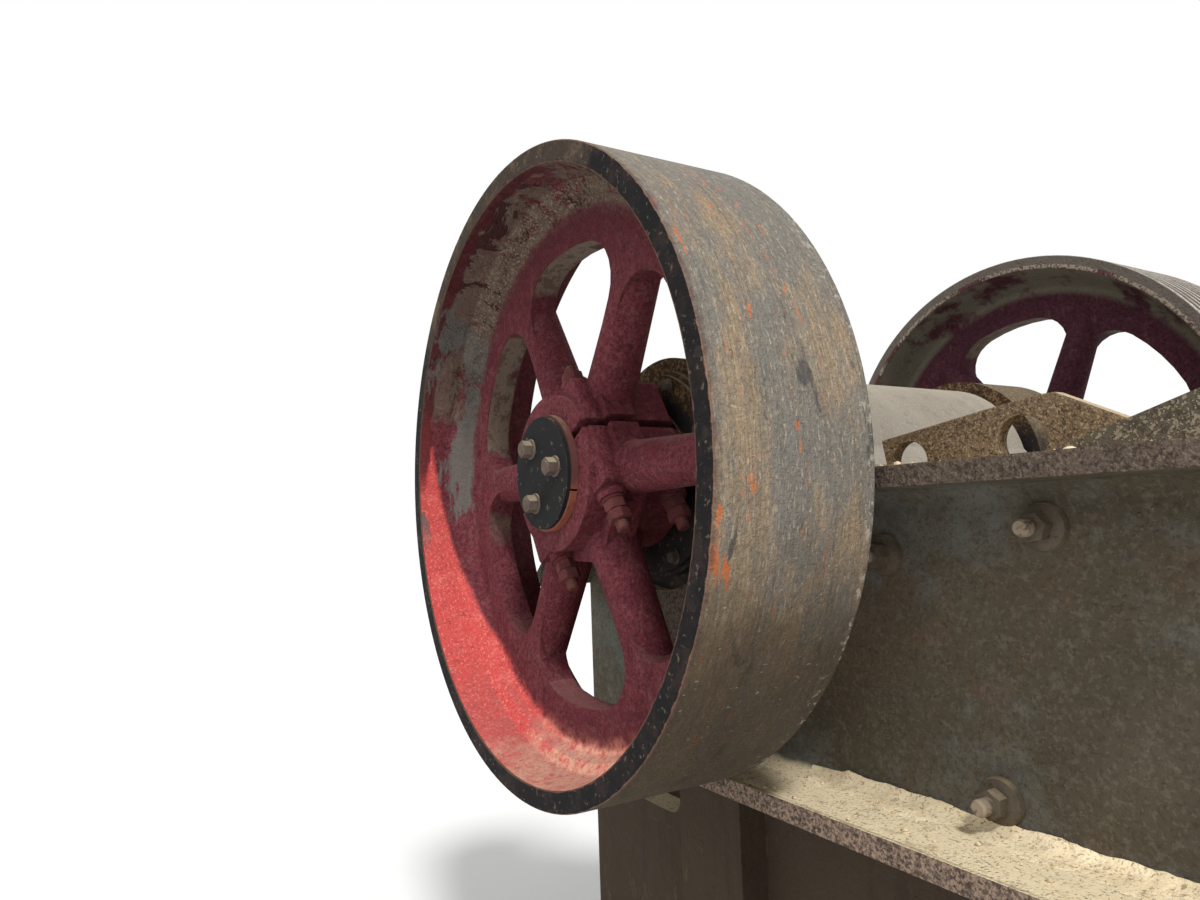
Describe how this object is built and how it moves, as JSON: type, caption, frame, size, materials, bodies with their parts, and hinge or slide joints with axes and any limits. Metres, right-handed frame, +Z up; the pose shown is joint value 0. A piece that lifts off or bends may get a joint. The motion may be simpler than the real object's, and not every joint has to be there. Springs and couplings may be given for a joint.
{
  "type": "jaw crusher",
  "caption": "Jaw crusher with a toothed swing jaw and fixed jaw in a ribbed frame, a flywheel and a grooved pulley on its eccentric shaft.",
  "frame": {"origin": "middle of the four foundation bolt holes, on the floor", "axes": "+X towards the feed end, +Y across the machine towards the grooved pulley, +Z up"},
  "size_m": [2.2702, 2.206, 2.345],
  "materials": {
    "frame_paint": "dark olive grey paint, dusty and chipped to rust",
    "housing_paint": "grey casting under a coat of pale dust",
    "liner_steel": "rough rusty brown casting",
    "worn_steel": "worn bare steel with rust",
    "wheel_paint": "red paint, faded and dusty, worn off the rim",
    "spring_paint": "worn red paint",
    "disc_paint": "black satin",
    "ring_paint": "red-orange primer"
  },
  "bodies": {
    "frame": {"near_wall": "frame_paint", "far_wall": "frame_paint", "front_wall": "frame_paint", "rear_wall": "frame_paint", "near_bearing_base": "housing_paint", "far_bearing_base": "housing_paint", "near_bearing_cap": "housing_paint", "far_bearing_cap": "housing_paint", "near_seal_cover": "housing_paint", "far_seal_cover": "housing_paint", "near_cheek_plates": "liner_steel", "far_cheek_plates": "liner_steel", "fixed_jaw_plate": "worn_steel", "fixed_jaw_wedge": "worn_steel", "adjusting_block": "frame_paint", "adjusting_shims": "worn_steel", "rear_toggle_seat": "worn_steel", "toggle_plate": "worn_steel", "guide_ledges": "frame_paint", "tension_rods": "worn_steel", "tension_springs": "spring_paint", "spring_plates": "worn_steel", "rod_nuts": "worn_steel"},
    "rotor": {"eccentric_shaft": "worn_steel", "flywheel": "wheel_paint", "grooved_pulley": "wheel_paint", "end_discs": "disc_paint", "split_rings": "ring_paint"},
    "swing_jaw": {"pitman": "housing_paint", "swing_jaw_plate": "worn_steel", "swing_jaw_wedge": "worn_steel", "pitman_end_rings": "liner_steel", "front_toggle_seat": "worn_steel", "rod_pins": "worn_steel"}
  },
  "joints": [
    {"name": "shaft_spin", "type": "hinge", "parent": "frame", "child": "rotor", "pos_m": [-0.3, 0, 1.62], "axis": [0, 1, 0], "continuous": true},
    {"name": "swing_on_eccentric", "type": "hinge", "parent": "rotor", "child": "swing_jaw", "pos_m": [-0.3, 0, 1.608], "axis": [0, 1, 0], "continuous": true}
  ],
  "couplings": [
    {"joint": "swing_on_eccentric", "follows": "shaft_spin", "ratio": -1}
  ]
}
